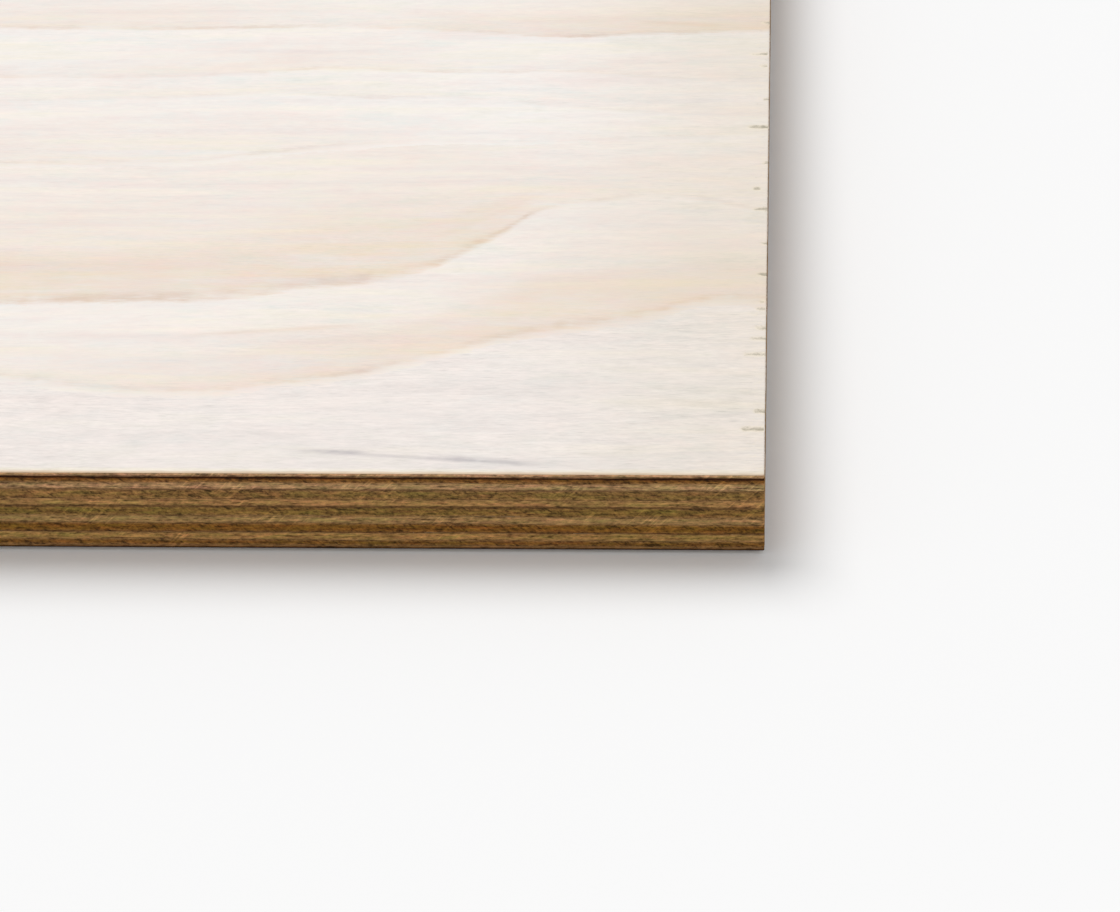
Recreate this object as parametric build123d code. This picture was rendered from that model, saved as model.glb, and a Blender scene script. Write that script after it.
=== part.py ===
from build123d import *

import os

# Full sheet of birch-faced plywood, in millimetres. It lies flat with its face up, X along the face
# grain, Y across it and Z through the thickness. The origin is the middle of the back, on the floor.

# Trimmed size of the sheet
SHEET_LENGTH = 2440.0
SHEET_WIDTH = 1220.0

# Thickness of each kind of veneer. The layup is balanced, so the face and the back share theirs.
OUTER_VENEER = 0.8
CROSSBAND = 1.4
LONG_CORE = 1.75
CROSS_CORE = 2.2

# How many core plies run across the sheet. One more runs along it, and the two kinds alternate.
CROSS_CORES = 3

# Radius that sanding leaves on the long and short edges of the face and the back
SANDED_EDGE = 0.3

# Radius of the upright corners, where two saw cuts meet
SHEET_CORNER = 0.4

# The most of a veneer's thickness that its sanded edge may take
SANDED_SHARE = 0.6


def layup():
    """Lists every ply from the back to the face, as its name and its thickness."""
    plies = [("back_veneer", OUTER_VENEER), ("back_crossband", CROSSBAND)]
    for number in range(1, 2 * CROSS_CORES + 2):
        thickness = LONG_CORE if number % 2 else CROSS_CORE
        plies.append((f"core_ply_{number}", thickness))
    plies += [("face_crossband", CROSSBAND), ("face_veneer", OUTER_VENEER)]
    return plies


def trimmed_outline():
    """Outline that the trim saws leave, the same for every ply because they cut the glued sheet."""
    return RectangleRounded(SHEET_LENGTH, SHEET_WIDTH, SHEET_CORNER)


def ply(thickness, height):
    """One veneer whose lower side lies at a height above the floor."""
    return extrude(Pos(0, 0, height) * trimmed_outline(), thickness)


def sanded(veneer, outer_side):
    """An outer veneer with its free edges sanded round.

    outer_side is +1 for the face, whose free side is up, and -1 for the back.
    """
    free_side = veneer.faces().sort_by(Axis.Z)[-1 if outer_side > 0 else 0]
    radius = min(SANDED_EDGE, SANDED_SHARE * OUTER_VENEER)
    return fillet(free_side.edges(), radius)


def sheet():
    """Builds the plies one on another and returns each under its name."""
    built = {}
    height = 0.0
    for name, thickness in layup():
        built[name] = ply(thickness, height)
        height += thickness
    built["face_veneer"] = sanded(built["face_veneer"], +1)
    built["back_veneer"] = sanded(built["back_veneer"], -1)
    return built


os.makedirs("parts", exist_ok=True)
for node, solid in sheet().items():
    export_step(solid, f"parts/{node}.step")
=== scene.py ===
"""A full sheet of birch-faced plywood, lying with its face up.

Lengths are in metres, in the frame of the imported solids: X runs along the sheet and the grain of its face,
Y across it, and Z up from the floor. Patterns are worked out in millimetres, most of them from the front
right corner of the sheet.
"""

import logging
import math
from dataclasses import dataclass
from enum import Enum
from typing import Any, Callable, Union

import bmesh
import bpy
from mathutils import Matrix, Vector


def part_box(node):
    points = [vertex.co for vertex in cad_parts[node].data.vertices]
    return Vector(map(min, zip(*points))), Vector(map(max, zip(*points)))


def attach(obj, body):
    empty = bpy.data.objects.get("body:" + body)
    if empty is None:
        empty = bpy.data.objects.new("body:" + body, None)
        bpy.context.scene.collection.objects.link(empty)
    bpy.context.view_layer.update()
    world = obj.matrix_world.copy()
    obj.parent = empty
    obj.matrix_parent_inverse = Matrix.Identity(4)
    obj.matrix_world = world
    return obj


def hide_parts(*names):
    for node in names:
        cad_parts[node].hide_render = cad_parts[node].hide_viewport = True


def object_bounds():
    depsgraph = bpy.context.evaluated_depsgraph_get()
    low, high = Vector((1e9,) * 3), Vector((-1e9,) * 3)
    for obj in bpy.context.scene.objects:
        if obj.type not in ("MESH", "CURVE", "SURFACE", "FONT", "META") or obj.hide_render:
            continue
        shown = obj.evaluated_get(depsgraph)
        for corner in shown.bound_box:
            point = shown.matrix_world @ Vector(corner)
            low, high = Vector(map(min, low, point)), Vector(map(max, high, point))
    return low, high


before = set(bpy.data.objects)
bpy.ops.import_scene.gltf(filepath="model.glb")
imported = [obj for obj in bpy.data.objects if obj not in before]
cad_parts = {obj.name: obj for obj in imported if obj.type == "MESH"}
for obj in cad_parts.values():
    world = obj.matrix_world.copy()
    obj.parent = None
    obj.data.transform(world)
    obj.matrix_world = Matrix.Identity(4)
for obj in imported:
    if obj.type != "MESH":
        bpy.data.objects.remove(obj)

SOLID_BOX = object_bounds()
MM = 0.001

# Places that lie closer than this count as one
HAIR = 0.01 * MM

logging.basicConfig(level=logging.INFO, format="%(levelname)s %(message)s")
log = logging.getLogger("plywood_sheet")

Colour = tuple[float, float, float, float]
Tint = tuple[float, float, float]
Number = Union["Value", float]
Socket = bpy.types.NodeSocket

WHITE: Colour = (1.0, 1.0, 1.0, 1.0)


def screen(red: int, green: int, blue: int) -> Colour:
    """Gives the linear colour that a screen shows as these steps of 0 to 255.

    Args:
        red: Red, from 0 to 255.
        green: Green, from 0 to 255.
        blue: Blue, from 0 to 255.

    Returns:
        The colour that a shader takes.
    """
    parts = [step / 255 for step in (red, green, blue)]
    straight = [p / 12.92 if p <= 0.04045 else ((p + 0.055) / 1.055) ** 2.4 for p in parts]
    return (straight[0], straight[1], straight[2], 1.0)


def tinted(colour: Colour, by: Tint) -> Colour:
    """Multiplies each part of a colour by its own factor."""
    return (colour[0] * by[0], colour[1] * by[1], colour[2] * by[2], 1.0)


class Value:
    """A number on a node's socket, which Python's arithmetic carries on with Math nodes."""

    def __init__(self, graph: "Graph", socket: Socket) -> None:
        """Wraps a socket of a graph."""
        self.graph = graph
        self.socket = socket

    def __add__(self, other: Number) -> "Value":
        """Adds."""
        return self.graph.math("ADD", self, other)

    def __radd__(self, other: Number) -> "Value":
        """Adds, with the plain number first."""
        return self.graph.math("ADD", other, self)

    def __sub__(self, other: Number) -> "Value":
        """Subtracts."""
        return self.graph.math("SUBTRACT", self, other)

    def __rsub__(self, other: Number) -> "Value":
        """Subtracts from a plain number."""
        return self.graph.math("SUBTRACT", other, self)

    def __mul__(self, other: Number) -> "Value":
        """Multiplies."""
        return self.graph.math("MULTIPLY", self, other)

    def __rmul__(self, other: Number) -> "Value":
        """Multiplies, with the plain number first."""
        return self.graph.math("MULTIPLY", other, self)

    def __truediv__(self, other: Number) -> "Value":
        """Divides."""
        return self.graph.math("DIVIDE", self, other)


class Graph:
    """The nodes of one material or of the world."""

    def __init__(self, owner: Union[bpy.types.Material, bpy.types.World]) -> None:
        """Empties the owner's nodes.

        Args:
            owner: The material or the world.
        """
        owner.use_nodes = True
        self.owner = owner
        self.tree = owner.node_tree
        self.tree.nodes.clear()

    def node(self, kind: str, settings: dict[str, Any], sockets: dict[Any, Any]) -> bpy.types.Node:
        """Adds a node.

        Args:
            kind: Its type.
            settings: Properties that are set first, and as "points" a curve's points from 0 to 1.
            sockets: What goes into each input: a number, a colour, a wrapped value or another node's socket.

        Returns:
            The node.
        """
        made = self.tree.nodes.new(kind)
        for name, setting in settings.items():
            if name == "points":
                self.bend(made, setting)
            else:
                setattr(made, name, setting)
        for key, given in sockets.items():
            source = given.socket if isinstance(given, Value) else given
            if isinstance(source, Socket):
                self.tree.links.new(source, made.inputs[key])
            else:
                made.inputs[key].default_value = source
        return made

    @staticmethod
    def bend(made: bpy.types.Node, points: list[tuple[float, float]]) -> None:
        """Gives a curve node its points.

        Args:
            made: The node.
            points: Points in order, each from 0 to 1 both ways.
        """
        held = made.mapping.curves[0].points
        held[0].location, held[1].location = points[0], points[-1]
        for point in points[1:-1]:
            held.new(*point)
        made.mapping.update()

    def value(self, kind: str, settings: dict[str, Any], sockets: dict[Any, Any]) -> Value:
        """Adds a node and wraps its first output."""
        return Value(self, self.node(kind, settings, sockets).outputs[0])

    def math(self, operation: str, *operands: Number) -> Value:
        """Works on numbers with one Math node.

        Args:
            operation: The Math node's operation.
            operands: Its one, two or three inputs.

        Returns:
            The result.
        """
        return self.value("ShaderNodeMath", {"operation": operation}, dict(enumerate(operands)))

    def held(self, value: Number) -> Value:
        """Keeps a value from 0 to 1."""
        return self.value("ShaderNodeClamp", {}, {"Value": value})

    def step(self, value: Number, low: float, high: float) -> Value:
        """Rises smoothly from 0 at low to 1 at high."""
        sockets = {"Value": value, "From Min": low, "From Max": high}
        return self.value("ShaderNodeMapRange", {"interpolation_type": "SMOOTHSTEP"}, sockets)

    def hill(self, value: Value, middle: float, width: float) -> Value:
        """Is 1 at the middle and falls off to both sides within about the width."""
        off = (value - middle) / width
        return self.math("EXPONENT", off * off * -1.0)

    def curve(self, value: Number, points: list[tuple[float, float]]) -> Value:
        """Reads a smooth curve through points that lie from 0 to 1."""
        return self.value("ShaderNodeFloatCurve", {"points": points}, {"Value": value})

    def place(self) -> tuple[Value, Value, Value]:
        """Reads where a point lies on the object.

        Returns:
            Its x, y and z in millimetres.
        """
        spot = self.node("ShaderNodeTexCoord", {}, {}).outputs["Object"]
        parts = self.node("ShaderNodeSeparateXYZ", {}, {0: spot}).outputs
        return tuple(Value(self, part) * (1 / MM) for part in parts)

    def noise(self, x: Number, y: Number, seed: float, detail: float = 2.0, rough: float = 0.5) -> Value:
        """Gives a smooth random value of about 0.5.

        Args:
            x: The first coordinate, in the noise's own steps.
            y: The second coordinate.
            seed: Where in the noise to cut, so that no two patterns are alike.
            detail: How many finer layers it has.
            rough: How much the finer layers count.

        Returns:
            The noise.
        """
        spot = self.node("ShaderNodeCombineXYZ", {}, {0: x, 1: y, 2: seed}).outputs[0]
        sockets = {"Vector": spot, "Scale": 1.0, "Detail": detail, "Roughness": rough}
        return self.value("ShaderNodeTexNoise", {}, sockets)

    def swing(self, x: Number, y: Number, seed: float, detail: float = 2.0, rough: float = 0.5) -> Value:
        """Gives noise that swings about 0, mostly from -1 to 1."""
        return (self.noise(x, y, seed, detail, rough) - 0.5) * 3.2

    def mix(self, first: Any, second: Any, share: Number) -> Socket:
        """Mixes two colours.

        Args:
            first: The colour at a share of 0.
            second: The colour at a share of 1.
            share: How much of the second.

        Returns:
            The colour's socket.
        """
        return self.node("ShaderNodeMix", {"data_type": "RGBA"}, {0: share, 6: first, 7: second}).outputs[2]

    def shade(self, colour: Any, by: Number) -> Socket:
        """Makes a colour darker or lighter by a factor."""
        return self.node("ShaderNodeVectorMath", {"operation": "SCALE"}, {0: colour, "Scale": by}).outputs[0]

    def bump(self, height: Number, depth: float) -> Socket:
        """Turns a height from 0 to 1 into a normal, for a relief of that depth in metres."""
        return self.node("ShaderNodeBump", {}, {"Height": height, "Distance": depth}).outputs[0]

    def wood(self, colour: Any, rough: Number, normal: Any, shine: float = 0.3) -> bpy.types.Material:
        """Ends the material in a bare wood surface.

        Args:
            colour: Its colour.
            rough: Its roughness.
            normal: Its bumped normal.
            shine: How much it reflects, where 0.5 is plain varnish.

        Returns:
            The finished material.
        """
        sockets = {"Base Color": colour, "Roughness": rough, "Normal": normal, "Specular IOR Level": shine}
        surface = self.node("ShaderNodeBsdfPrincipled", {}, sockets)
        self.node("ShaderNodeOutputMaterial", {}, {"Surface": surface.outputs[0]})
        return self.owner

    def seen(self) -> Value:
        """Tells what the camera sees from light on its way.

        Returns:
            A value that is 1 for what the camera sees, straight or in gloss or glass, and otherwise 0.
        """
        path = self.node("ShaderNodeLightPath", {}, {}).outputs
        ways = ("Is Camera Ray", "Is Glossy Ray", "Is Transmission Ray")
        straight, gloss, glass = (Value(self, path[way]) for way in ways)
        return self.math("MAXIMUM", self.math("MAXIMUM", straight, gloss), glass)


class Side(Enum):
    """The four sawn sides, by the way that each one faces."""

    FRONT = (0, -1)
    REAR = (0, 1)
    RIGHT = (1, 0)
    LEFT = (-1, 0)


class Grain(Enum):
    """Which way a veneer's fibres run on the sheet."""

    ALONG = "along the sheet"
    ACROSS = "across the sheet"

    def cut_square(self, side: Side) -> bool:
        """Says whether a side cuts these fibres square, so that it shows end grain."""
        return (side.value[0] != 0) == (self is Grain.ALONG)


class Kind(Enum):
    """The kinds of veneer in the layup. Plies of one kind are cut alike."""

    FACE = "face"
    BACK = "back"
    CROSSBAND = "crossband"
    LONG_CORE = "long core"
    CROSS_CORE = "cross core"


@dataclass(frozen=True)
class RingLine:
    """One growth ring's dark line on the face near the front right corner.

    Attributes:
        path: Points of the line, as millimetres from the right side and from the front side.
        depth: How deep the tan above the line is, from 0 to 1, at millimetres from the right side.
        warmth: How amber the line is, from 0 to 1, at millimetres from the right side.
    """

    path: tuple[tuple[float, float], ...]
    depth: tuple[tuple[float, float], ...]
    warmth: tuple[tuple[float, float], ...]


@dataclass(frozen=True)
class Streak:
    """A thin straight streak on the face, thinning out at its ends.

    Attributes:
        start: Its end on the right, in millimetres from the right side and from the front side.
        end: Its end on the left.
        width: Half its width in millimetres.
        depth: How strong it is, from 0 to 1.
    """

    start: tuple[float, float]
    end: tuple[float, float]
    width: float
    depth: float


# From the front side on, as the rings lie near the front right corner
RING_LINES = (
    RingLine(
        path=((0, 68.2), (14, 68.3), (25, 62), (50, 54.5), (64, 48), (76, 41.5), (90, 36), (102, 34),
              (110, 31.2), (127, 30.8), (142, 32.7), (160, 36.6), (200, 40)),
        depth=((0, 0.85), (20, 0.8), (50, 0.8), (65, 0.7), (90, 0.7), (103, 0.6), (127, 0.45), (200, 0.5)),
        warmth=((0, 1.0), (35, 0.9), (60, 0.35), (85, 0.3), (105, 0.6), (130, 0.15), (165, 0.5), (200, 0.5)),
    ),
    RingLine(
        path=((0, 108.3), (6, 110.2), (15, 113.9), (26, 115.3), (38, 112.5), (51, 107.9), (57, 100), (65, 91),
              (73, 83), (86, 77), (101, 74.3), (113, 70.3), (133, 69), (165, 68), (200, 70)),
        depth=((0, 0.35), (30, 0.42), (50, 0.55), (57, 0.8), (75, 0.95), (100, 0.95), (130, 0.85),
               (200, 0.9)),
        warmth=((0, 0.3), (35, 0.1), (50, 0.3), (62, 0.9), (75, 0.8), (95, 0.2), (115, 0.3), (135, 0.6),
                (200, 0.7)),
    ),
    RingLine(
        path=((0, 147), (25, 144), (53, 141.5), (78, 141.6), (101, 139.2), (117, 135.8), (131, 132.4),
              (147, 131), (200, 131)),
        depth=((0, 0.2), (60, 0.12), (100, 0.25), (150, 0.4), (200, 0.35)),
        warmth=((0, 0.2), (200, 0.1)),
    ),
    RingLine(
        path=((0, 154), (35, 157.1), (54, 160.8), (75, 164.5), (97, 164.6), (116, 167.4), (135, 165.4),
              (159, 163.9), (200, 162.5)),
        depth=((0, 0.25), (60, 0.12), (90, 0.3), (130, 0.3), (200, 0.22)),
        warmth=((0, 0.3), (80, 0.2), (110, 0.0), (200, 0.0)),
    ),
    RingLine(
        path=((0, 171), (31, 174.8), (50, 178.1), (64, 177.1), (89, 178.4), (108, 179.6), (125, 177),
              (200, 176)),
        depth=((0, 0.25), (40, 0.2), (90, 0.32), (125, 0.3), (200, 0.2)),
        warmth=((0, 0.4), (200, 0.3)),
    ),
    RingLine(
        path=((0, 200), (29, 198.1), (51, 196.6), (66, 198.4), (103, 202.6), (140, 201.8), (200, 203.4)),
        depth=((0, 1.0), (40, 0.85), (100, 0.35), (140, 0.45), (200, 0.5)),
        warmth=((0, 0.5), (60, 0.3), (120, 0.6), (200, 0.6)),
    ),
)

GREY_STREAKS = (
    Streak((78, 7.9), (95, 8.3), 0.9, 0.7),
    Streak((43, 3.5), (68, 6.6), 1.0, 0.7),
    Streak((34, 2.5), (106, 9.8), 0.7, 0.4),
)

TAN_STREAKS = (
    Streak((80, 58.6), (128, 53.2), 0.9, 0.6),
    Streak((8, 202.0), (36, 205.6), 1.2, 0.7),
)


@dataclass(frozen=True)
class Tear:
    """A splinter that the saw tore out of the face veneer at the right side.

    Attributes:
        across: Where it is, in millimetres from the front side.
        reach: How far it runs in from the right side, in millimetres.
        gap: How far from the right side it starts.
        depth: How deep it is, in millimetres.
    """

    across: float
    reach: float
    gap: float
    depth: float


TEARS = (
    Tear(17.2, 5.4, 0.4, 0.20),
    Tear(24.0, 2.6, 0.0, 0.22),
    Tear(46.4, 4.2, 0.0, 0.14),
    Tear(52.8, 3.4, 0.0, 0.10),
    Tear(57.2, 2.6, 0.0, 0.13),
    Tear(65.2, 2.4, 0.4, 0.15),
    Tear(68.4, 1.8, 0.6, 0.10),
    Tear(80.0, 2.2, 0.0, 0.19),
    Tear(93.5, 1.4, 0.0, 0.10),
    Tear(109.2, 3.4, 0.0, 0.17),
    Tear(118.8, 3.8, 1.4, 0.21),
    Tear(131.0, 1.3, 0.0, 0.10),
    Tear(148.8, 5.4, 0.2, 0.22),
    Tear(163.0, 1.6, 0.0, 0.11),
    Tear(180.4, 2.4, 0.6, 0.13),
    Tear(186.8, 4.6, 0.6, 0.12),
    Tear(204.0, 2.0, 0.0, 0.12),
)


class Figure:
    """The noises that the figure of a birch face is mixed from.

    Attributes:
        along: Millimetres from the right side.
        across: Millimetres from the front side.
        end: Millimetres from the nearer end of the sheet.
        rim: Millimetres from the nearer long side.
        cloud: Wide soft patches. It swings about 0, mostly from -1 to 1, as the next six do.
        chill: Long cool patches.
        wisps: Long thin bands.
        mottle: Patches of about a centimetre.
        streaks: Short thin bands.
        strands: Bundles of fibres.
        fibres: Single fibres.
        pores: The pores, from 0 to 1.
        lively: How strong the fine figure is, from 0 to 1.
    """

    def __init__(self, g: Graph, seed: float) -> None:
        """Makes the noises.

        Args:
            g: The material's graph.
            seed: Cuts them from their own part of the noise.
        """
        x, y, _ = g.place()
        low, high = (corner / MM for corner in SOLID_BOX)
        along, across = high.x - x, y - low.y
        self.along, self.across = along, across
        self.end = g.math("MINIMUM", along, (high.x - low.x) - along)
        self.rim = g.math("MINIMUM", across, (high.y - low.y) - across)
        warp = across + g.swing(along * 0.011, across * 0.025, seed + 13, 2.0) * 1.4
        self.cloud = g.swing(along * 0.018, across * 0.05, seed + 29, 4.0, 0.65)
        self.chill = g.swing(along * 0.030, warp * 0.10, seed + 41, 4.0, 0.7)
        self.wisps = g.swing(along * 0.013, warp * 0.20, seed + 11, 3.0, 0.6)
        self.mottle = g.swing(along * 0.10, across * 0.17, seed + 53, 3.0, 0.7)
        self.streaks = g.swing(along * 0.085, warp * 0.42, seed + 37, 4.0, 0.7)
        self.strands = g.swing(along * 0.13, warp * 1.0, seed + 17, 3.0, 0.7)
        self.fibres = g.swing(along * 0.38, warp * 2.4, seed + 19, 2.0, 0.7)
        self.pores = g.step(g.noise(along * 0.20, warp * 1.8, seed + 23, 2.0, 0.6), 0.58, 0.76)
        self.lively = g.held(0.45 + g.swing(along * 0.017, across * 0.05, seed + 31, 2.0) * 0.9)


@dataclass(frozen=True)
class Rings:
    """Where the growth rings of a face lie.

    Attributes:
        field: Height field that passes a whole number at each ring line.
        number: Number of the ring that a place lies in.
        since: How far past that ring's line it lies, from 0 to 1.
        depth: How deep that ring's tan is, from 0 to 1.
        warmth: How amber its line is, from 0 to 1.
        far: How far off the known corner the place is, from 0 to 1.
    """

    field: Value
    number: Value
    since: Value
    depth: Value
    warmth: Value
    far: Number


@dataclass(frozen=True)
class BirchFace:
    """Sanded rotary-cut birch: pale wood with growth rings, fibres and pores.

    Attributes:
        name: The material's name.
        seed: Cuts the figure from its own part of the noise.
        is_face: Whether it is the upper side, whose corner has the ring lines and the torn splinters.
        pale: Colour of the plain wood.
        tan: Late wood of a ring.
        rose: The pinker late wood.
        pink: Pinkish patches.
        cream_and_rim_highlight: Creamy patches, and a painted highlight on the wood next to the long sides.
        cool: Cool patches.
        dim: The wood between the front side and the first ring line.
        grey: The grey streaks.
        amber: A warm ring line, and the rim at the long sides.
        umber: A plain ring line.
        darker_end: The darker, warmer tone towards the ends of the sheet.
        torn: The shaded side of a torn splinter.
        bare: The fresh wood beside it.
        ring_gap: How far apart the rings mostly are, in millimetres.
        corner_reach: How far from the corner the ring lines are known, along and across, in millimetres.
        darker_end_reach: How far the darker ends reach in, in millimetres.
        torn_reach: How far the frayed wood reaches in from the right side, in millimetres.
        pore_depth: Depth of the pores in metres.
    """

    name: str
    seed: float
    is_face: bool
    pale: Colour = screen(251, 247, 242)
    tan: Colour = screen(230, 210, 176)
    rose: Colour = screen(232, 205, 190)
    pink: Colour = screen(243, 232, 228)
    cream_and_rim_highlight: Colour = screen(246, 238, 220)
    cool: Colour = screen(232, 237, 234)
    dim: Colour = screen(238, 228, 222)
    grey: Colour = screen(168, 163, 168)
    amber: Colour = screen(214, 178, 138)
    umber: Colour = screen(196, 174, 166)
    darker_end: Colour = screen(222, 208, 188)
    torn: Colour = screen(162, 153, 132)
    bare: Colour = screen(247, 234, 206)
    ring_gap: float = 62.0
    corner_reach: tuple[float, float] = (200.0, 220.0)
    darker_end_reach: float = 62.0
    torn_reach: float = 7.0
    pore_depth: float = 0.03 * MM

    def rings(self, g: Graph, figure: Figure) -> Rings:
        """Lays the growth rings: from the ring lines near the corner, and from noise beyond.

        Args:
            g: The material's graph.
            figure: The noises of this face.

        Returns:
            The rings.
        """
        along = figure.along
        across = figure.across + figure.strands * 1.1 + figure.fibres * 0.8 + figure.streaks * 0.9
        far: Number = 1.0
        drift = g.swing(along * 0.00085, across * 0.0030, self.seed, 2.0, 0.4)
        ripple = g.swing(along * 0.007, across * 0.022, self.seed + 3, 3.0, 0.6)
        field = (across - 40) / self.ring_gap + drift * 4.2 + ripple * 0.13
        if self.is_face:
            reach_x, reach_y = self.corner_reach
            far = g.held(g.step(along, reach_x, 520) + g.step(across, reach_y + 4, 480))
            run = along / reach_x
            paths = [[(x / reach_x, y / reach_y) for x, y in ring.path] for ring in RING_LINES]
            lines = [g.curve(run, points) * reach_y for points in paths]
            near = g.math("MINIMUM", (across - lines[0]) / 90, 0.0)
            for low, high in zip(lines, lines[1:]):
                near = near + g.held((across - low) / (high - low))
            near = near + g.math("MAXIMUM", (across - lines[-1]) / 24, 0.0) + ripple * 0.03
            field = near + (field - near) * far
        number = g.math("FLOOR", field + 0.03)
        stray = [g.noise(number * 7.3, along * 0.0035, self.seed + cut, 1.0) for cut in (9, 45)]
        found = [g.held(value * 2.6 - 0.75) for value in stray]
        if self.is_face:
            past = g.math("GREATER_THAN", number, len(RING_LINES) - 0.5) * 0.4
            here = [past, past]
            for which, ring in enumerate(RING_LINES):
                inside = g.math("COMPARE", number, float(which), 0.5)
                for part, shown in enumerate((ring.depth, ring.warmth)):
                    here[part] = here[part] + inside * g.curve(run, [(x / reach_x, y) for x, y in shown])
            found = [near + (distant - near) * far for near, distant in zip(here, found)]
        return Rings(field, number, field + 0.03 - number, *found, far)

    def tan_share(self, g: Graph, figure: Figure, rings: Rings) -> Value:
        """Works out how tan the late wood of the rings is.

        Args:
            g: The material's graph.
            figure: The noises of this face.
            rings: Its growth rings.

        Returns:
            The share of tan, from 0 to 1.
        """
        cloud, wisps, streaks = figure.cloud, figure.wisps, figure.streaks
        rise = g.step(rings.since, -0.02, 0.08)
        fall = g.step(rings.since + wisps * 0.16 + cloud * 0.10, 0.90, 0.06)
        parallel = g.swing(rings.field * 4.5, figure.along * 0.006, self.seed + 43, 2.0, 0.6)
        parallel = parallel * g.step(rings.since, 0.06, 0.4)
        patchy = 0.62 + parallel * 0.5 + wisps * 0.30 + cloud * 0.38 + streaks * 0.34 + figure.strands * 0.16
        band = rings.depth * rise * fall * g.held(patchy)
        stain = wisps * 0.09 + streaks * 0.08 + cloud * 0.10 + figure.mottle * 0.10
        return g.held(band * 0.74 + rings.depth * 0.25 + stain)

    def plain_wood(self, g: Graph, figure: Figure, rings: Rings, tan: Value) -> Socket:
        """Mixes the colours of the wood and of its ring lines.

        Args:
            g: The material's graph.
            figure: The noises of this face.
            rings: Its growth rings.
            tan: The share of tan.

        Returns:
            The colour's socket.
        """
        cloud, wisps, streaks, mottle = figure.cloud, figure.wisps, figure.streaks, figure.mottle
        creamy = g.held(wisps * 0.5 - cloud * 0.5 - mottle * 0.3 - 0.02)
        blush = g.held(0.28 + cloud * 0.6 - wisps * 0.3 + mottle * 0.45)
        cool = g.held(figure.chill * 0.9 + streaks * 0.25 - mottle * 0.3 - 0.1)
        rosy = g.held(0.5 - wisps * 0.4 + mottle * 0.6)
        gaps = g.swing(figure.along * 0.05, rings.number * 3.7, self.seed + 47, 3.0, 0.65)
        line = g.hill(rings.since, 0.056, 0.032) * g.held(0.36 + gaps * 1.2 + streaks * 0.7)
        line = line * (0.10 + rings.depth * 0.34 + rings.warmth * 0.18)
        colour = g.mix(self.pale, self.cream_and_rim_highlight, creamy)
        colour = g.mix(colour, self.pink, blush)
        colour = g.mix(colour, self.cool, cool)
        colour = g.mix(colour, g.mix(self.tan, self.rose, rosy), tan)
        return g.mix(colour, g.mix(self.umber, self.amber, rings.warmth), line)

    @staticmethod
    def streak(g: Graph, figure: Figure, line: Streak) -> Value:
        """Makes one thin streak.

        Args:
            g: The material's graph.
            figure: The noises of this face.
            line: The streak.

        Returns:
            Its strength, from 0 to its depth.
        """
        (x0, y0), (x1, y1) = line.start, line.end
        ends = (x1 - x0) * 0.35
        window = g.step(figure.along, x0, x0 + ends) * g.step(figure.along, x1, x1 - ends)
        off = figure.across - (figure.along - x0) * ((y1 - y0) / (x1 - x0))
        return g.hill(off, y0, line.width) * window * line.depth

    def corner_marks(self, g: Graph, figure: Figure, colour: Socket, before: Value, darker_end: Value) -> Socket:
        """Adds what the wood near the front right corner shows besides its rings.

        Args:
            g: The material's graph.
            figure: The noises of this face.
            colour: The wood's colour so far.
            before: Where the wood lies before the first ring line, from 0 to 1.
            darker_end: How far toward the darker end tone the place is, from 0 to 1.

        Returns:
            The colour's socket.
        """
        dim = g.held(0.62 - darker_end * 0.3 + figure.mottle * 0.25 + figure.streaks * 0.2)
        colour = g.mix(colour, self.dim, before * dim)
        for line in TAN_STREAKS:
            colour = g.mix(colour, self.amber, self.streak(g, figure, line) * 0.35)
        patches = g.held(0.65 + figure.mottle * 0.5 + figure.streaks * 0.6)
        for line in GREY_STREAKS:
            colour = g.mix(colour, self.grey, self.streak(g, figure, line) * patches)
        return colour

    def tear_marks(self, g: Graph, figure: Figure, colour: Socket) -> Socket:
        """Colours the frayed wood at the right side and its torn splinters.

        Args:
            g: The material's graph.
            figure: The noises of this face.
            colour: The wood's colour so far.

        Returns:
            The colour's socket.
        """
        torn = Value(g, g.node("ShaderNodeAttribute", {"attribute_name": "torn"}, {}).outputs["Fac"])
        splinters = g.swing(figure.along * 0.6, figure.across * 0.9, 97.0, 4.0, 0.75)
        near = g.step(figure.along, self.torn_reach, 0.5)
        colour = g.mix(colour, self.torn, near * g.held(splinters * 0.6 - 0.16))
        colour = g.mix(colour, self.bare, near * g.held(-0.7 * splinters - 0.05))
        colour = g.mix(colour, self.bare, g.step(torn + splinters * 0.2, 0.1, 0.5) * 0.35)
        return g.mix(colour, self.torn, g.step(torn + splinters * 0.55, 0.30, 1.0) * 0.8)

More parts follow.
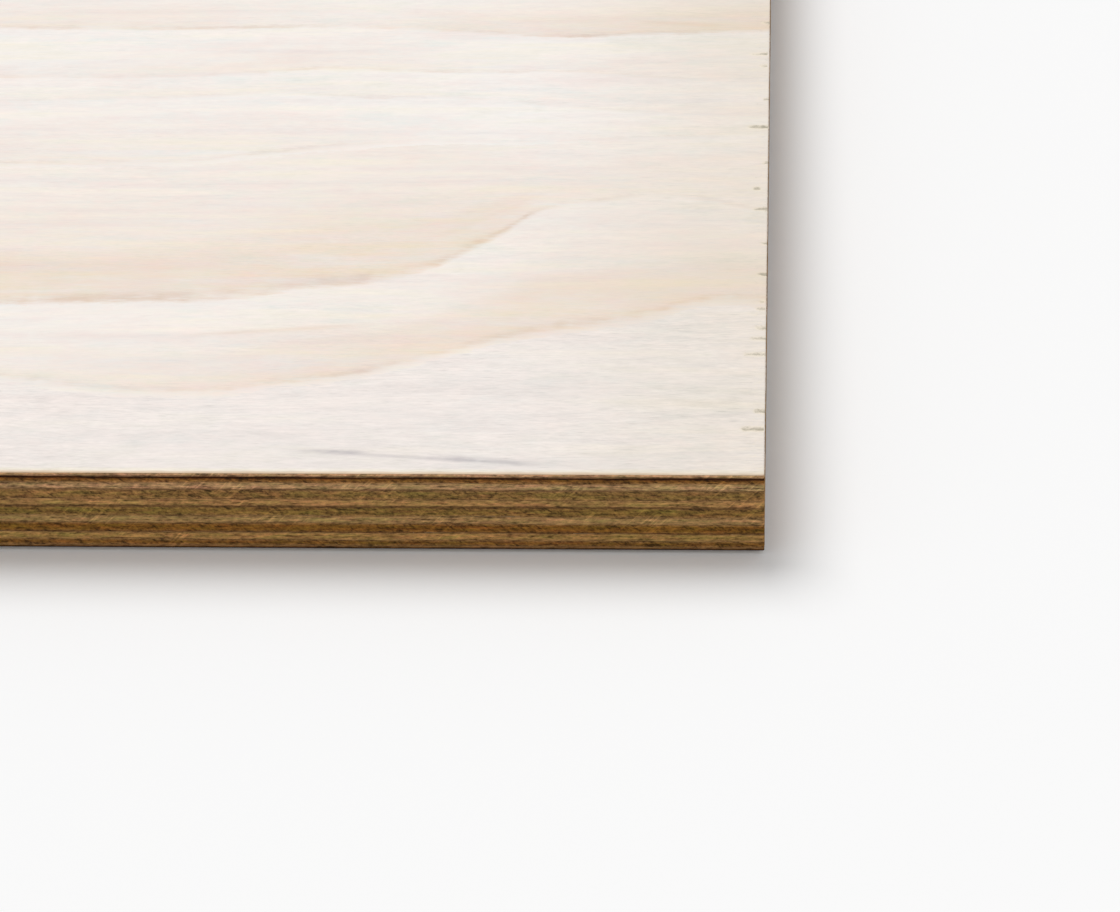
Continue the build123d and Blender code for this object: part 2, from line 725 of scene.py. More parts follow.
    def material(self) -> bpy.types.Material:
        """Builds the material.

        Returns:
            The finished material.
        """
        g = Graph(bpy.data.materials.new(self.name))
        figure = Figure(g, self.seed)
        strands, fibres, pores, lively = figure.strands, figure.fibres, figure.pores, figure.lively
        rings = self.rings(g, figure)
        tan = self.tan_share(g, figure, rings)
        colour = self.plain_wood(g, figure, rings, tan)
        darker_end = g.step(figure.end, self.darker_end_reach, 0.0)
        if self.is_face:
            first = g.math("COMPARE", rings.number, -1.0, 0.5) * (1.0 - rings.far)
            before = g.step(rings.since, 0.0, 0.02) * first
            colour = self.corner_marks(g, figure, colour, before, darker_end)
            lively = lively + before * 1.5
        # Painted highlight: a cream band along the rims of the long sides stands in for light caught by the
        # rounded arris.
        colour = g.mix(colour, self.cream_and_rim_highlight, g.step(figure.rim + strands * 0.6, 2.2, 1.2) * 0.8)
        colour = g.mix(colour, self.amber, g.step(figure.rim + strands * 0.3, 1.3, 0.2) * 0.7)
        # Darker, warmer tone towards both ends of the sheet.
        colour = g.mix(colour, self.darker_end, darker_end * (0.40 + figure.wisps * 0.12 + figure.chill * 0.1))
        fine = (strands * 0.045 + fibres * 0.05 - pores * 0.07) * (0.58 + lively * 0.5)
        coarse = figure.mottle * (0.044 + lively * 0.016) + figure.streaks * (0.052 + lively * 0.028)
        coarse = coarse + figure.wisps * 0.054 + figure.cloud * 0.036
        colour = g.shade(colour, 1.0 + coarse + fine)
        if self.is_face:
            colour = self.tear_marks(g, figure, colour)
        rough = 0.62 + fibres * 0.05 - tan * 0.06
        relief = 0.5 + strands * 0.10 + fibres * 0.2 - pores * 0.5
        return g.wood(colour, rough, g.bump(relief, self.pore_depth))


@dataclass(frozen=True)
class GluedFace:
    """The flat side of a veneer where the glue has soaked in, which only a peeled sheet would show.

    Attributes:
        grain: Which way the fibres run.
        wood: Colour of the bare wood.
        soaked: Colour where the glue has soaked in.
    """

    grain: Grain
    wood: Colour = screen(214, 182, 140)
    soaked: Colour = screen(120, 78, 44)

    def material(self) -> bpy.types.Material:
        """Builds the material.

        Returns:
            The finished material.
        """
        g = Graph(bpy.data.materials.new(f"glued_{self.grain.name.lower()}"))
        x, y, _ = g.place()
        run, off = (x, y) if self.grain is Grain.ALONG else (y, x)
        fibres = g.swing(run * 0.05, off * 1.6, 71.0, 3.0, 0.6)
        pools = g.swing(run * 0.02, off * 0.03, 77.0, 3.0, 0.6)
        colour = g.mix(self.wood, self.soaked, g.held(0.4 + pools * 0.5))
        colour = g.shade(colour, 1.0 + fibres * 0.12)
        return g.wood(colour, 0.6 - pools * 0.1, g.bump(0.5 + fibres * 0.3, 0.05 * MM))


@dataclass(frozen=True)
class SawnEdge:
    """A veneer's sawn and sanded edge, between two glue lines.

    Attributes:
        name: The material's name.
        tone: The wood's colour there.
        square: Whether the saw cut the fibres square, so that their ends show.
        low: Height of the veneer's lower side, in millimetres.
        high: Height of its upper side, in millimetres.
        seed: Cuts its pattern from its own part of the noise.
        soak_and_shade: How strongly glue darkens it at its lower and its upper side, from 0 to 1; at the
            bottom of the sheet it paints the contact shade instead.
        border: Colour of the mixed fibres at a glue line.
        glue_and_shade: Colour of wood that the glue has soaked, which also paints the contact shade at the
            bottom of the sheet.
        mossy: Tint of the wood's cooler patches.
        ruddy: Tint of its warmer ones.
        border_reach: How far the mixed fibres reach from a glue line, in millimetres.
        scratch: How much lighter a scratch of the saw is than the wood.
    """

    name: str
    tone: Colour
    square: bool
    low: float
    high: float
    seed: float
    soak_and_shade: tuple[float, float]
    border: Colour = screen(164, 124, 80)
    glue_and_shade: Colour = screen(56, 26, 6)
    mossy: Tint = (0.86, 1.05, 0.80)
    ruddy: Tint = (1.16, 0.95, 1.02)
    border_reach: float = 0.62
    scratch: float = 0.5

    def end_grain(self, g: Graph, run: Value, height: Value, level: Value) -> tuple[Value, Value, Socket]:
        """Makes the pitted pattern of fibres that were cut square.

        Args:
            g: The material's graph.
            run: Millimetres along the edge.
            height: Millimetres above the floor.
            level: The same, waved with the layers of the wood.

        Returns:
            How light the wood is, its specks from -1 to 1, and the bumped normal.
        """
        layers = g.swing(run * 0.07, level * 1.1, self.seed + 4, 3.0, 0.65)
        fine = g.swing(run * 0.30, level * 1.7, self.seed + 6, 3.0, 0.7)
        specks = g.swing((run + height * 0.5) * 0.75, height * 1.1, self.seed + 8, 4.0, 0.8)
        checks = g.noise((run + height * 1.3) * 0.9, height * 0.45, self.seed + 10, 2.0)
        checks = g.step(checks, 0.58, 0.72)
        tone = 1.13 + self.blotch(g, run, height) * 0.30 + layers * 0.42 + fine * 0.90
        relief = 0.5 + fine * 0.15 + specks * 0.22 - checks * 0.3
        return tone + specks * 1.50 - checks * 0.55, specks, g.bump(relief, 0.14 * MM)

    def long_grain(self, g: Graph, run: Value, height: Value, level: Value) -> tuple[Value, Value, Socket]:
        """Makes the streaked pattern of fibres that run along the edge.

        Args:
            g: The material's graph.
            run: Millimetres along the edge.
            height: Millimetres above the floor.
            level: The same, waved with the layers of the wood.

        Returns:
            How light the wood is, its specks from -1 to 1, and the bumped normal.
        """
        layers = g.swing(run * 0.03, level * 1.2, self.seed + 4, 3.0, 0.65)
        fine = g.swing(run * 0.16, level * 2.0, self.seed + 6, 3.0, 0.75)
        specks = g.swing((run - height * 0.4) * 0.55, height * 1.5, self.seed + 10, 4.0, 0.75)
        checks = g.step(g.noise(run * 0.25, level * 2.6, self.seed + 8, 2.0), 0.58, 0.72)
        tone = 1.09 + self.blotch(g, run, height) * 0.24 + layers * 0.34 + fine * 0.84
        relief = 0.5 + fine * 0.25 + specks * 0.12 - checks * 0.3
        return tone + specks * 1.15 - checks * 0.45, specks, g.bump(relief, 0.08 * MM)

    def blotch(self, g: Graph, run: Value, height: Value) -> Value:
        """Makes the wide lighter and darker patches of the edge."""
        return g.swing(run * 0.045, height * 0.35, self.seed + 2, 3.0, 0.65)

    @staticmethod
    def scratches(g: Graph, run: Value, height: Value) -> Value:
        """Makes the faint slanting scratches of the saw, which cross all the plies alike.

        Args:
            g: The material's graph.
            run: Millimetres along the edge.
            height: Millimetres above the floor.

        Returns:
            Their strength, from 0 to 1.
        """
        marks = g.step(g.noise((run - height) * 1.5, (run + height) * 0.09, 83.0, 1.0), 0.56, 0.66)
        patches = g.step(g.noise(run * 0.06, height * 0.1, 89.0, 2.0), 0.48, 0.62)
        return marks * patches

    def material(self) -> bpy.types.Material:
        """Builds the material.

        Returns:
            The finished material.
        """
        g = Graph(bpy.data.materials.new(self.name))
        x, y, height = g.place()
        run = x + y
        level = height + g.swing(run * 0.045, height * 0.15, self.seed, 2.0) * 0.3
        pattern = self.end_grain if self.square else self.long_grain
        tone, specks, normal = pattern(g, run, height, level)
        slow = g.swing(run * 0.02, height * 0.1, 63.0, 2.0)
        quick = g.swing(run * 0.14, height * 0.8, self.seed + 14, 4.0, 0.7)
        warm = g.held(0.45 - slow * 0.35 + quick * 0.8)
        colour = g.mix(tinted(self.tone, self.mossy), tinted(self.tone, self.ruddy), warm)
        ragged = g.swing(run * 0.28, height * 0.7, self.seed + 12, 4.0, 0.8)
        for soak_and_shade, rim in zip(self.soak_and_shade, (height - self.low, self.high - height)):
            mixed = g.step(rim + ragged * 0.35, self.border_reach, 0.0)
            colour = g.mix(colour, self.border, mixed * 0.62)
            # At the bottom of the back veneer this darkening is painted contact shade, since no glue lies
            # there.
            soaked = g.step(rim + ragged * 0.2, 0.10 + soak_and_shade * 0.7, soak_and_shade * 0.3)
            colour = g.mix(colour, self.glue_and_shade, soaked * soak_and_shade)
        tone = g.math("MAXIMUM", tone, 0.3) + self.scratches(g, run, height) * self.scratch
        return g.wood(g.shade(colour, tone), 0.8 + specks * 0.06, normal, 0.12)


@dataclass(frozen=True)
class Stretch:
    """A stretch of a side and how finely its edge is cut up.

    Attributes:
        start: Where it starts, in millimetres from the front right or the nearest right or front corner.
        end: Where it ends.
        pitch: The length of its pieces, in millimetres.
    """

    start: float
    end: float
    pitch: float


def choose(obj: bpy.types.Object) -> None:
    """Selects one object alone and makes it the active one."""
    bpy.ops.object.select_all(action="DESELECT")
    obj.select_set(True)
    bpy.context.view_layer.objects.active = obj


class Blank:
    """One mesh while it is shaped in edit mode."""

    # The most cuts that one subdivide operator makes
    MOST_CUTS = 100

    # The angle in degrees past which an edge stays sharp
    SHARP = 35

    def __init__(self, name: str, low: Vector, high: Vector) -> None:
        """Starts from a block.

        Args:
            name: The object's name.
            low: The block's lowest corner.
            high: Its highest corner.
        """
        bpy.ops.object.select_all(action="DESELECT")
        bpy.ops.mesh.primitive_cube_add(size=1.0, location=(low + high) / 2, scale=high - low)
        self.obj = bpy.context.object
        self.obj.name = self.obj.data.name = name
        bpy.ops.object.transform_apply(location=True, rotation=False, scale=True)
        bpy.ops.object.mode_set(mode="EDIT")

    def pick(self, what: str, chosen: Callable[[Any], bool]) -> int:
        """Selects parts of the mesh.

        Args:
            what: VERT, EDGE or FACE.
            chosen: Says for each part whether it is selected.

        Returns:
            How many were selected.
        """
        bpy.ops.mesh.select_mode(type=what)
        bpy.ops.mesh.select_all(action="DESELECT")
        mesh = bmesh.from_edit_mesh(self.obj.data)
        parts = {"VERT": mesh.verts, "EDGE": mesh.edges, "FACE": mesh.faces}[what]
        found = [part for part in parts if chosen(part)]
        for part in found:
            part.select_set(True)
        mesh.select_flush_mode()
        bmesh.update_edit_mesh(self.obj.data)
        return len(found)

    def divide(self, chosen: Callable[[Any], bool], pieces: int) -> None:
        """Cuts each chosen edge into equal pieces, and the quads between chosen edges with them.

        Args:
            chosen: Says for each edge whether it is cut.
            pieces: About how many pieces each one becomes.
        """
        rounds = max(1, math.ceil(math.log(max(pieces, 2)) / math.log(self.MOST_CUTS)))
        each = max(2, round(pieces ** (1 / rounds)))
        for _ in range(rounds):
            if self.pick("EDGE", chosen):
                bpy.ops.mesh.subdivide(number_cuts=each - 1)

    def done(self) -> bpy.types.Object:
        """Leaves edit mode and shades the mesh smooth up to its sharp edges.

        Returns:
            The shaped object.
        """
        bpy.ops.object.mode_set(mode="OBJECT")
        bpy.ops.object.shade_smooth_by_angle(angle=math.radians(self.SHARP))
        return self.obj


@dataclass
class Ply:
    """One veneer of the sheet.

    Attributes:
        node: The solid that it stands for.
        slot: The record's material slot; it is not used.
        kind: What kind of veneer it is.
        grain: Which way its fibres run.
        square_tone: Colour of its edge where the saw cut the fibres square.
        long_tone: Colour of its edge where the fibres run along it.
        seed: Makes its patterns its own.
        soak_and_shade: How strongly glue darkens its edge at its lower and its upper side, from 0 to 1; at
            the bottom of the back veneer it paints the contact shade instead.
        corner: Radius of the upright corners.
        sanded: Radius of the sanded rim of a face or a back.
        groove: Width of the bevel at a glue line.
        rows: How many rows of quads its edge has.
        wave: How far the glue lines rise and fall, in metres.
        wave_length: Over what length they do so.
        end_relief: Width and depth of the pits where the saw cut the fibres square, in metres.
        long_relief: Length and depth of the waves where the fibres run along the side, in metres.
        stretches: How finely a side is cut up, from the front right corner on.
        strips: Where the face is cut into strips along the right side, in millimetres from it.
        strip_stretches: How finely those strips are cut up.
        tear_steps: Share of a tear's depth, half width in pieces and share of its reach, step by step.
        tear_spread: How far a tear's colour reaches to each side of it, in millimetres.
        margin: Width of the frame that holds the fine cuts at the rims of the flat sides.
        wide: Area in square metres past which a face is the middle of a flat side.
    """

    node: str
    slot: str
    kind: Kind
    grain: Grain
    square_tone: Colour
    long_tone: Colour
    seed: float
    soak_and_shade: tuple[float, float]
    corner: float = 0.4 * MM
    sanded: float = 0.3 * MM
    groove: float = 0.025 * MM
    rows: int = 4
    wave: float = 0.45 * MM
    wave_length: float = 20 * MM
    end_relief: tuple[float, float] = (1.1 * MM, 0.09 * MM)
    long_relief: tuple[float, float] = (4.0 * MM, 0.04 * MM)
    stretches: tuple[Stretch, ...] = (Stretch(0, 235, 0.5), Stretch(235, 620, 2.5), Stretch(620, 2440, 6.0))
    strips: tuple[float, ...] = (0.6, 1.2, 2.0, 3.0, 4.2, 5.6, 7.0)
    strip_stretches: tuple[Stretch, ...] = (
        Stretch(0, 2, 0.5), Stretch(2, 235, 0.3), Stretch(235, 620, 2.5), Stretch(620, 1218, 6.0),
        Stretch(1218, 1220, 0.5),
    )
    tear_steps: tuple[tuple[float, float, float], ...] = ((0.25, 2.5, 1.0), (0.35, 1.5, 0.8), (0.4, 0.5, 0.6))
    tear_spread: float = 1.6
    margin: float = 12 * MM
    wide: float = 1.0

    def __post_init__(self) -> None:
        """Reads the solid's box, and notes whether this is one of the two outer veneers."""
        self.low, self.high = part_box(self.node)
        self.is_face = self.kind is Kind.FACE
        self.is_back = self.kind is Kind.BACK

    @staticmethod
    def side_of(normal: Vector) -> Side:
        """Finds the side that a direction points to most.

        Args:
            normal: The direction.

        Returns:
            The side.
        """
        if abs(normal.x) > abs(normal.y):
            return Side.RIGHT if normal.x > 0 else Side.LEFT
        return Side.REAR if normal.y > 0 else Side.FRONT

    @staticmethod
    def middle(edge: Any) -> Vector:
        """Gives the middle of an edge."""
        return (edge.verts[0].co + edge.verts[1].co) / 2

    def near_side(self, edge: Any, side: Side, inset: float) -> bool:
        """Says whether an edge runs along a side and close to it.

        Args:
            edge: The edge.
            side: The side.
            inset: How far in from the side it may lie, in metres.

        Returns:
            Whether it does.
        """
        first, second = (vert.co for vert in edge.verts)
        out = Vector((*side.value, 0))
        rim = self.high.x if side.value[0] else self.high.y
        if min(first.dot(out), second.dot(out)) < rim - inset:
            return False
        return abs((second - first).cross(out).z) > 0.99 * (second - first).length

    def from_corner(self, place: Vector, side: Side) -> float:
        """Gives how far along its side a place lies from the right or front corner, in millimetres."""
        gone = self.high.x - place.x if side.value[1] else place.y - self.low.y
        return gone / MM

    def round_rims(self, blank: Blank) -> None:
        """Sands the free rim of an outer veneer round, and leaves a fine groove where two veneers meet.

        Args:
            blank: The mesh.
        """
        for outer, height in ((self.is_face, self.high.z), (self.is_back, self.low.z)):
            blank.pick("EDGE", lambda e: all(abs(v.co.z - height) < HAIR for v in e.verts))
            offset, segments = (self.sanded, 4) if outer else (self.groove, 1)
            bpy.ops.mesh.bevel(offset=offset, segments=segments, affect="EDGES", clamp_overlap=True)

    def cut_strips(self, blank: Blank) -> None:
        """Cuts the face into narrow strips along the right side, where splinters are torn out.

        Args:
            blank: The mesh.
        """
        for inset in self.strips:
            blank.pick("FACE", lambda f: f.normal.z > 0.9)
            bpy.ops.mesh.bisect(plane_co=(self.high.x - inset * MM, 0, 0), plane_no=(1, 0, 0))

    def cut_side(self, blank: Blank, side: Side) -> None:
        """Cuts a side into short pieces, shortest at the front right corner.

        Args:
            blank: The mesh.
            side: The side.
        """
        stripped = self.is_face and side is Side.RIGHT
        stretches = self.strip_stretches if stripped else self.stretches
        inset = self.strips[-1] * MM + HAIR if stripped else 1.2 * self.sanded
        out = Vector((*side.value, 0))
        run = Vector((abs(out.y), abs(out.x), 0))
        length = self.from_corner(self.low if side.value[1] else self.high, side)

        def in_strips(face: Any) -> bool:
            """Says whether a face is one of the narrow strips of the upper side."""
            return stripped and face.normal.z > 0.9 and face.calc_center_median().x > self.high.x - inset

        def on_side(face: Any) -> bool:
            """Says whether a face is on this side or its rim, and not at a corner."""
            return face.normal.dot(out) > 0.1 and abs(face.normal.dot(run)) < 0.05

        for stretch in stretches[1:]:
            if stretch.start < length:
                gone = stretch.start * MM
                place = (self.high.x - gone, 0, 0) if side.value[1] else (0, self.low.y + gone, 0)
                blank.pick("FACE", lambda f: on_side(f) or in_strips(f))
                bpy.ops.mesh.bisect(plane_co=place, plane_no=run)
        for stretch in stretches:
            start, end = stretch.start, min(stretch.end, length)
            if start < end:
                pieces = round((end - start) / stretch.pitch)
                blank.divide(lambda e: start < self.from_corner(self.middle(e), side) < end
                             and self.near_side(e, side, inset), pieces)

    def cut_frames(self, blank: Blank) -> None:
        """Cuts a frame off both flat sides, so that the fine cuts at their rims leave the middle plain.

        Args:
            blank: The mesh.
        """
        for side in Side:
            out = Vector((*side.value, 0))
            rim = self.high.x if side.value[0] else self.high.y
            blank.pick("FACE", lambda f: abs(f.normal.z) > 0.9 and f.calc_area() > self.wide)
            bpy.ops.mesh.bisect(plane_co=out * (rim - self.margin), plane_no=out)

    def sink_tears(self, blank: Blank) -> None:
        """Sinks the places where splinters are torn out of the face.

        Args:
            blank: The mesh.
        """
        pitch = self.strip_stretches[1].pitch
        for tear in TEARS:
            for share, wide, reach in self.tear_steps:
                half = wide * pitch * MM
                low = self.high.x - (tear.reach * reach + 0.1) * MM
                high = self.high.x - (tear.gap - 0.1) * MM
                blank.pick("VERT", lambda v: low < v.co.x < high and v.co.z > self.high.z - self.sanded
                           and abs(v.co.y - self.low.y - tear.across * MM) < half)
                bpy.ops.transform.translate(value=(0, 0, -tear.depth * share * MM))

    def cut(self) -> bpy.types.Mesh:
        """Models a veneer of this kind, with straight edges still.

        Returns:
            Its mesh.
        """
        blank = Blank(f"{self.node}_wood", self.low, self.high)
        thick = self.high.z - self.low.z
        blank.pick("EDGE", lambda e: abs(e.verts[0].co.z - e.verts[1].co.z) > 0.5 * thick)
        bpy.ops.mesh.bevel(offset=self.corner, segments=3, affect="EDGES")
        self.round_rims(blank)
        blank.divide(lambda e: abs(e.verts[0].co.z - e.verts[1].co.z) > 0.3 * thick, self.rows)
        for side in (Side.FRONT, Side.REAR):
            self.cut_side(blank, side)
        if self.is_face:
            self.cut_strips(blank)
        for side in (Side.RIGHT, Side.LEFT):
            self.cut_side(blank, side)
        self.cut_frames(blank)
        if self.is_face:
            self.sink_tears(blank)
        obj = blank.done()
        mesh = obj.data
        bpy.data.objects.remove(obj)
        return mesh

    def wave_borders(self, obj: bpy.types.Object) -> None:
        """Lets the glue lines rise and fall a little, alike in the two veneers that meet there.

        Args:
            obj: The veneer.
        """
        group = obj.vertex_groups.new(name="borders")
        thick = self.high.z - self.low.z
        for vert in obj.data.vertices:
            share = (vert.co.z - self.low.z) / thick
            up = 0.0 if self.is_face else max(0.0, 2 * share - 1)
            down = 0.0 if self.is_back else max(0.0, 1 - 2 * share)
            group.add([vert.index], max(up, down), "REPLACE")
        texture = bpy.data.textures.new("glue_wave", "CLOUDS")
        texture.noise_scale, texture.noise_depth = self.wave_length, 3
        self.displace(obj, "borders", texture, "Z", self.wave, 0.5)

    def roughen(self, obj: bpy.types.Object) -> None:
        """Makes the sawn sides uneven: pitted where the saw cut the fibres square, and smoother along them.

        Args:
            obj: The veneer.
        """
        for side in Side:
            axis = 0 if side.value[0] else 1
            sign = side.value[axis]
            rim = (self.high.x if axis == 0 else self.high.y) - self.groove * 1.2
            group = obj.vertex_groups.new(name=side.name)
            on_side = [v.index for v in obj.data.vertices
                       if v.co[axis] * sign > rim and self.low.z < v.co.z < self.high.z]
            group.add(on_side, 1.0, "REPLACE")
            width, depth = self.end_relief if self.grain.cut_square(side) else self.long_relief
            texture = bpy.data.textures.new(f"{side.name.lower()}_relief", "CLOUDS")
            texture.noise_scale, texture.noise_depth = width, 2
            self.displace(obj, side.name, texture, "XY"[axis], sign * depth, 1.0)

    @staticmethod
    def displace(
        obj: bpy.types.Object, group: str, texture: bpy.types.Texture, axis: str, depth: float, middle: float
    ) -> None:
        """Pushes a group of vertices along an axis by a texture, and applies it.

        Args:
            obj: The object.
            group: The vertex group.
            texture: The procedural texture.
            axis: X, Y or Z.
            depth: How far the whole range of the texture pushes, in metres.
            middle: The texture's value that stays in place.
        """
        choose(obj)
        push = obj.modifiers.new(group, "DISPLACE")
        push.texture, push.texture_coords, push.direction = texture, "LOCAL", axis
        push.vertex_group, push.strength, push.mid_level = group, depth, middle
        bpy.ops.object.modifier_apply(modifier=push.name)

    def mark_tears(self, obj: bpy.types.Object) -> None:
        """Stores for the face's finish how near each vertex is to a torn splinter, from 0 to 1.

        Args:
            obj: The veneer.
        """
        layer = obj.data.attributes.new("torn", "FLOAT", "POINT")
        for vert in obj.data.vertices:
            inward = (self.high.x - vert.co.x) / MM
            if inward > self.strips[-1] or vert.co.z < self.high.z - 0.6 * MM:
                continue
            along = (vert.co.y - self.low.y) / MM
            for tear in TEARS:
                near = 1 - abs(along - tear.across) / self.tear_spread
                if near > 0 and tear.gap - 0.1 < inward < tear.reach + 0.1:
                    strength = min(1.0, 0.5 + tear.depth * 2.4) * (1 - 0.4 * (inward / tear.reach) ** 2)
                    layer.data[vert.index].value = max(layer.data[vert.index].value, near * strength)

    def unfold(self, obj: bpy.types.Object) -> None:
        """Lays the piece out flat, with the sides that show on most of the square.

        The four sawn sides are folded into rows, because they are long and low. They fill the square of an
        inner veneer. On an outer one they leave most of it to the free side, and the side that the glue hides
        has a small patch.

        Args:
            obj: The veneer.
        """
        outer = self.is_face or self.is_back
        rows, rows_top = (6, 0.10) if outer else (40, 0.97)
        free_field, glued_patch = (0.0, 0.12, 1.0, 0.96), (0.0, 0.98, 0.02, 1.0)
        wide, deep = self.high.x - self.low.x, self.high.y - self.low.y
        starts = {Side.FRONT: 0.0, Side.RIGHT: wide, Side.REAR: wide + deep, Side.LEFT: 2 * wide + deep}
        length = 2 * (wide + deep) / rows
        spare = 8 * MM
        layer = obj.data.uv_layers.new(name="OFBake").data
        verts = obj.data.vertices
        for face in obj.data.polygons:
            corners = [(loop, verts[obj.data.loops[loop].vertex_index].co) for loop in face.loop_indices]
            up = face.normal.z
            if abs(up) > 0.8:
                shown = (self.is_face and up > 0) or (self.is_back and up < 0)
                left, base, right, top = free_field if shown else glued_patch
                for loop, co in corners:
                    u, v = (co.x - self.low.x) / wide, (co.y - self.low.y) / deep
                    layer[loop].uv = (left + u * (right - left), base + v * (top - base))
                continue
            side = self.side_of(face.normal)
            ahead = Vector((-side.value[1], side.value[0], 0))
            first = self.low if side in (Side.FRONT, Side.RIGHT) else self.high
            runs = [starts[side] + ahead.dot(co - first) for _, co in corners]
            row = min(rows - 1, int(sum(runs) / len(runs) / length))
            for (loop, co), run in zip(corners, runs):
                u = (run - row * length + spare / 2) / (length + spare)
                v = (row + 0.05 + 0.9 * (co.z - self.low.z) / (self.high.z - self.low.z)) / rows
                layer[loop].uv = (u, v * rows_top)

    def dress(self, obj: bpy.types.Object) -> None:
        """Gives the faces their wood.

        Args:
            obj: The veneer.
        """
        low, high = self.low.z / MM, self.high.z / MM
        glued = f"glued_{self.grain.name.lower()}"
        name, seed, soak_and_shade = self.node, self.seed, self.soak_and_shade
        glued_side, end_grain, long_grain, free_side = range(4)
        materials = [
            bpy.data.materials.get(glued) or GluedFace(self.grain).material(),
            SawnEdge(f"{name}_end_grain", self.square_tone, True, low, high, seed, soak_and_shade).material(),
            SawnEdge(f"{name}_long_grain", self.long_tone, False, low, high, seed, soak_and_shade).material(),
        ]
        if self.is_face or self.is_back:
            materials.append(BirchFace(f"{name}_birch", seed, self.is_face).material())
        for material in materials:
            obj.data.materials.append(material)
        for face in obj.data.polygons:
            square = self.grain.cut_square(self.side_of(face.normal))
            shown = (self.is_face and face.normal.z > 0.2) or (self.is_back and face.normal.z < -0.2)
            if abs(face.normal.z) > (0.2 if shown and square else 0.8):
                face.material_index = free_side if shown else glued_side
            else:
                face.material_index = end_grain if square else long_grain

    def build(self, mesh: bpy.types.Mesh, lift: float) -> bpy.types.Object:
        """Makes the veneer from the cut mesh of its kind and puts it in the place of its solid.

        Args:
            mesh: The mesh, which is copied.
            lift: How much higher this veneer lies than the one that the mesh was cut for, in metres.

        Returns:
            The veneer.
        """
        obj = bpy.data.objects.new(f"{self.node}_wood", mesh.copy())
        bpy.context.scene.collection.objects.link(obj)
        choose(obj)
        bpy.ops.transform.translate(value=(0, 0, lift))
        bpy.ops.object.transform_apply(location=True, rotation=False, scale=False)
        self.wave_borders(obj)
        self.roughen(obj)
        if self.is_face:
            self.mark_tears(obj)
        self.unfold(obj)
        self.dress(obj)
        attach(obj, "root")
        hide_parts(self.node)
        log.info("%s: %d faces, grain %s", obj.name, len(obj.data.polygons), self.grain.value)
        return obj


@dataclass
class Sheet:
    """The whole sheet, veneer on veneer.

    Attributes:
        light: Colour of a veneer's edge where its fibres run along it.
        dark: Colour where the saw cut its fibres square.
    """

    light: Colour = screen(182, 140, 96)
    dark: Colour = screen(140, 106, 64)

    def plies(self) -> list[Ply]:
        """Lists the veneers from the face down, each with the tint and the glue lines of its edge.

        Returns:
            The veneers.
        """
        outer, along, across = "outer_birch_veneer", "long_grain_ply", "cross_grain_ply"
        rows = (
            ("face_veneer", outer, Kind.FACE, (1.75, 1.85, 2.4), (0.48, 0.0)),
            ("face_crossband", across, Kind.CROSSBAND, (0.95, 0.74, 0.50), (0.0, 1.0)),
            ("core_ply_7", along, Kind.LONG_CORE, (1.18, 1.27, 1.45), (0.5, 0.0)),
            ("core_ply_6", across, Kind.CROSS_CORE, (1.12, 1.12, 1.08), (0.25, 0.25)),
            ("core_ply_5", along, Kind.LONG_CORE, (1.05, 1.01, 0.89), (0.5, 0.0)),
            ("core_ply_4", across, Kind.CROSS_CORE, (1.04, 1.06, 0.88), (0.15, 0.5)),
            ("core_ply_3", along, Kind.LONG_CORE, (1.02, 1.08, 1.04), (0.15, 0.05)),
            ("core_ply_2", across, Kind.CROSS_CORE, (0.98, 0.79, 0.44), (0.5, 0.2)),
            ("core_ply_1", along, Kind.LONG_CORE, (1.10, 1.10, 0.88), (0.05, 0.25)),
            ("back_crossband", across, Kind.CROSSBAND, (0.98, 0.80, 0.52), (0.1, 0.15)),
            # The back veneer's lower value paints the dark contact shade along the bottom of the sheet.
            ("back_veneer", outer, Kind.BACK, (0.72, 0.60, 0.50), (1.0, 0.0)),
        )
        found = []
        for number, (node, slot, kind, tint, soak_and_shade) in enumerate(rows, start=1):
            grain = Grain.ACROSS if slot == across else Grain.ALONG
            plain = tuple((part + 1) / 2 for part in tint)
            if kind is Kind.FACE:
                plain = tint
            square, long = (plain, tint) if grain is Grain.ALONG else (tint, plain)
            tones = tinted(self.dark, square), tinted(self.light, long)
            found.append(Ply(node, slot, kind, grain, *tones, 20.0 * number, soak_and_shade))
        return found

    def build(self) -> list[bpy.types.Object]:
        """Builds every veneer, cutting each kind only once.

        Returns:
            The finished veneers.
        """
        kinds: dict[Kind, tuple[bpy.types.Mesh, float]] = {}
        built = []
        for ply in self.plies():
            if ply.kind not in kinds:
                kinds[ply.kind] = ply.cut(), ply.low.z
            mesh, height = kinds[ply.kind]
            built.append(ply.build(mesh, ply.low.z - height))
        for mesh, _ in kinds.values():
            bpy.data.meshes.remove(mesh)
        return built


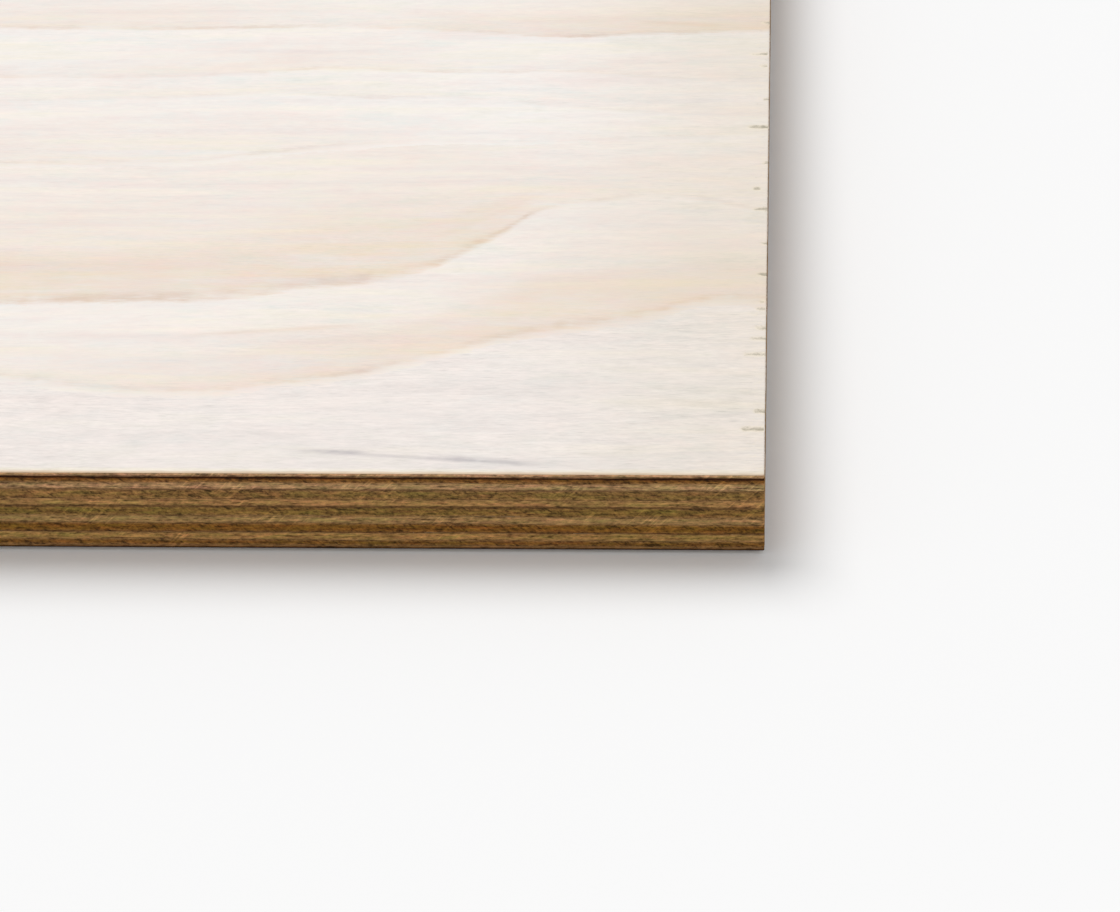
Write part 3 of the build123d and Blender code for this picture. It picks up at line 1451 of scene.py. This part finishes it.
@dataclass
class Studio:
    """Floor, light and camera.

    Attributes:
        lens: The camera's focal length in millimetres, on a sensor 36 mm wide.
        eye: Where the camera stands.
        pitch: How far it looks down, in degrees.
        yaw: How far it looks to the right, in degrees.
        roll: How far it is turned anticlockwise about its own line of sight, in degrees.
        sky: Strength of the even light from all round.
        sun: Strength of the soft light from behind the left.
        sun_from: The way to that light.
        sun_spread: How wide that light is, in degrees.
        glow: The floor's share of plain white for the camera, which leaves the rest to its shadow.
        paving: Colour of the floor where it lights the sheet from below.
        floor_size: The floor's width.
        gap: How far under the sheet the floor lies, which leaves a dark line between them.
    """

    lens: float = 115.3
    eye: tuple[float, float, float] = (1.2238, -1.2044, 0.4026)
    pitch: float = 32.535
    yaw: float = -4.24
    roll: float = -2.07
    sky: float = 0.50
    sun: float = 1.78
    sun_from: tuple[float, float, float] = (-0.45, 0.6, 1.0)
    sun_spread: float = 40.0
    glow: float = 0.05
    paving: Colour = (0.62, 0.61, 0.60, 1.0)
    floor_size: float = 80.0
    gap: float = 0.75 * MM

    def place_camera(self) -> None:
        """Puts the camera where the photo was taken from."""
        pose = Matrix.Translation(self.eye)
        for angle, axis in ((-self.yaw, "Z"), (90.0 - self.pitch, "X"), (self.roll, "Z")):
            pose = pose @ Matrix.Rotation(math.radians(angle), 4, axis)
        bpy.ops.object.camera_add()
        camera = bpy.context.object
        camera.name = "camera"
        camera.matrix_world = pose
        camera.data.lens, camera.data.sensor_width = self.lens, 36.0
        camera.data.clip_start, camera.data.clip_end = 0.01, 200.0
        bpy.context.scene.camera = camera

    def lay_floor(self) -> None:
        """Lays a plain pale floor just under the sheet."""
        bpy.ops.object.select_all(action="DESELECT")
        bpy.ops.mesh.primitive_plane_add(size=self.floor_size, location=(0, 0, -self.gap))
        floor = bpy.context.object
        floor.name = "floor"
        g = Graph(bpy.data.materials.new("floor_white"))
        seen = g.seen()
        colour = g.mix(self.paving, WHITE, seen)
        lit = g.node("ShaderNodeBsdfDiffuse", {}, {"Color": colour}).outputs[0]
        white = g.node("ShaderNodeEmission", {}, {"Strength": 1.0}).outputs[0]
        both = g.node("ShaderNodeMixShader", {}, {0: seen * self.glow, 1: lit, 2: white}).outputs[0]
        g.node("ShaderNodeOutputMaterial", {}, {"Surface": both})
        g.owner.cycles.emission_sampling = "NONE"
        floor.data.materials.append(g.owner)

    def light(self) -> None:
        """Lights the sheet with an even sky and a soft sun from behind the left."""
        world = bpy.data.worlds.new("studio_sky")
        bpy.context.scene.world = world
        g = Graph(world)
        level = self.sky + g.seen() * (1.0 - self.sky)
        back = g.node("ShaderNodeBackground", {}, {"Color": WHITE, "Strength": level})
        g.node("ShaderNodeOutputWorld", {}, {"Surface": back.outputs[0]})
        bpy.ops.object.light_add(type="SUN", location=(-2.0, 3.0, 4.0))
        sun = bpy.context.object
        sun.name = "soft_sun"
        sun.rotation_euler = Vector(self.sun_from).to_track_quat("Z", "Y").to_euler()
        sun.data.energy, sun.data.angle = self.sun, math.radians(self.sun_spread)

    def build(self) -> None:
        """Sets up camera, floor and light."""
        self.place_camera()
        self.lay_floor()
        self.light()
        bpy.context.scene.view_settings.view_transform = "Standard"


def main() -> None:
    """Builds the studio and the sheet, and notes the two sizes."""
    bpy.ops.object.select_all(action="DESELECT")
    Studio().build()
    pieces = Sheet().build()
    log.info("%d veneers, %d faces", len(pieces), sum(len(piece.data.polygons) for piece in pieces))


if __name__ == "__main__":
    main()
